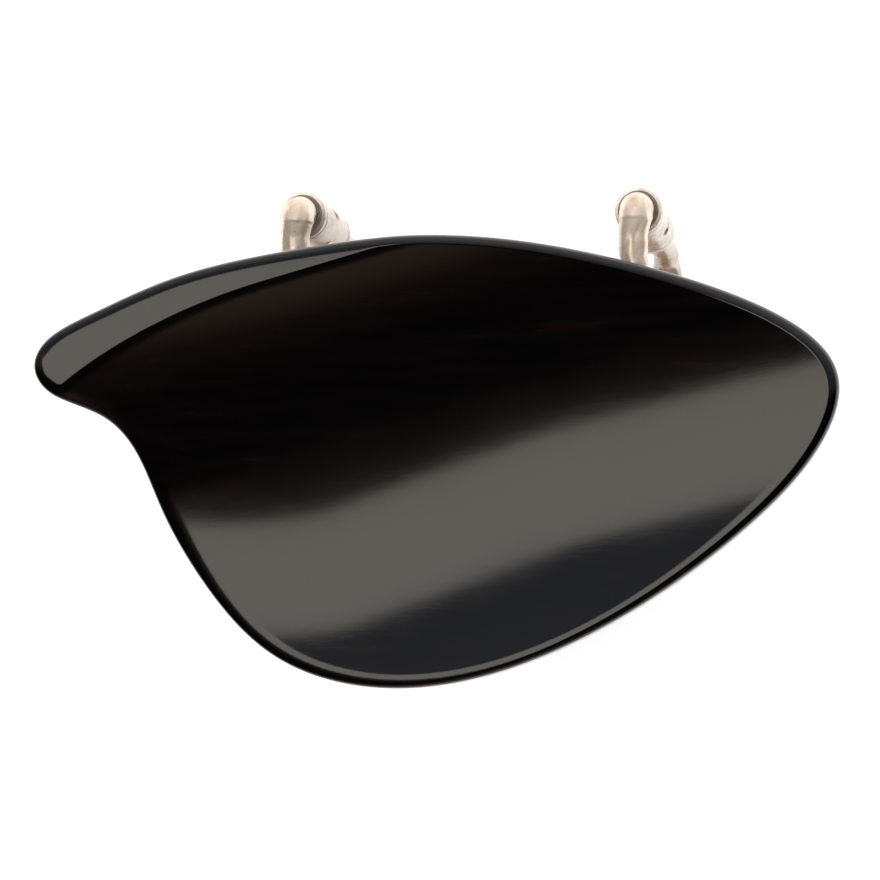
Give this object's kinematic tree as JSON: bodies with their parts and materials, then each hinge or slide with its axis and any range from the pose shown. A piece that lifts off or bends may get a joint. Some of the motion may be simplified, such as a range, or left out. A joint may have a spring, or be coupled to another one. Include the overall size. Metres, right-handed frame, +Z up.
{
  "type": "violin chin rest",
  "caption": "Side-mounted violin chin rest: a carved ebony plate with a ridge and a cup, on a cork-lined foot, held by turnbuckle clamps with cork-lined feet.",
  "frame": {"origin": "middle of the base cork's lower face, which lies on the violin's top", "axes": "+X along the violin's edge towards the plate's round end, +Y out over the ribs towards the clamps, +Z up"},
  "size_m": [0.1156, 0.0736, 0.0674],
  "materials": {
    "ebony": "oiled ebony polished to a satin gloss",
    "cork": "fine composition cork, sanded",
    "hook_metal": "bright nickel plate over forged rod",
    "barrel_metal": "bright nickel plate over turned brass",
    "leg_metal": "bright nickel plate over forged rod"
  },
  "bodies": {
    "root": {"plate": "ebony", "base_cork": "cork", "left_hook": "hook_metal", "right_hook": "hook_metal"},
    "left_turnbuckle": {"left_barrel": "barrel_metal"},
    "right_turnbuckle": {"right_barrel": "barrel_metal"},
    "left_lower_clamp": {"left_leg": "leg_metal", "left_foot_cork": "cork"},
    "right_lower_clamp": {"right_leg": "leg_metal", "right_foot_cork": "cork"}
  },
  "joints": [
    {"name": "left_barrel_turn", "type": "hinge", "parent": "root", "child": "left_turnbuckle", "pos_m": [-0.025, 0.011, -0.0055], "axis": [0, 0, -1], "range_deg": [-1000, 1500]},
    {"name": "left_foot_slide", "type": "slide", "parent": "root", "child": "left_lower_clamp", "axis": [0, 0, -1], "range_m": [-0.0038, 0.0058]},
    {"name": "right_barrel_turn", "type": "hinge", "parent": "root", "child": "right_turnbuckle", "pos_m": [0.025, 0.011, -0.0055], "axis": [0, 0, -1], "range_deg": [-1000, 1500]},
    {"name": "right_foot_slide", "type": "slide", "parent": "root", "child": "right_lower_clamp", "axis": [0, 0, -1], "range_m": [-0.0038, 0.0058]}
  ],
  "couplings": [
    {"joint": "left_barrel_turn", "follows": "left_foot_slide", "rad_per_m": 4488},
    {"joint": "right_barrel_turn", "follows": "right_foot_slide", "rad_per_m": 4488}
  ]
}
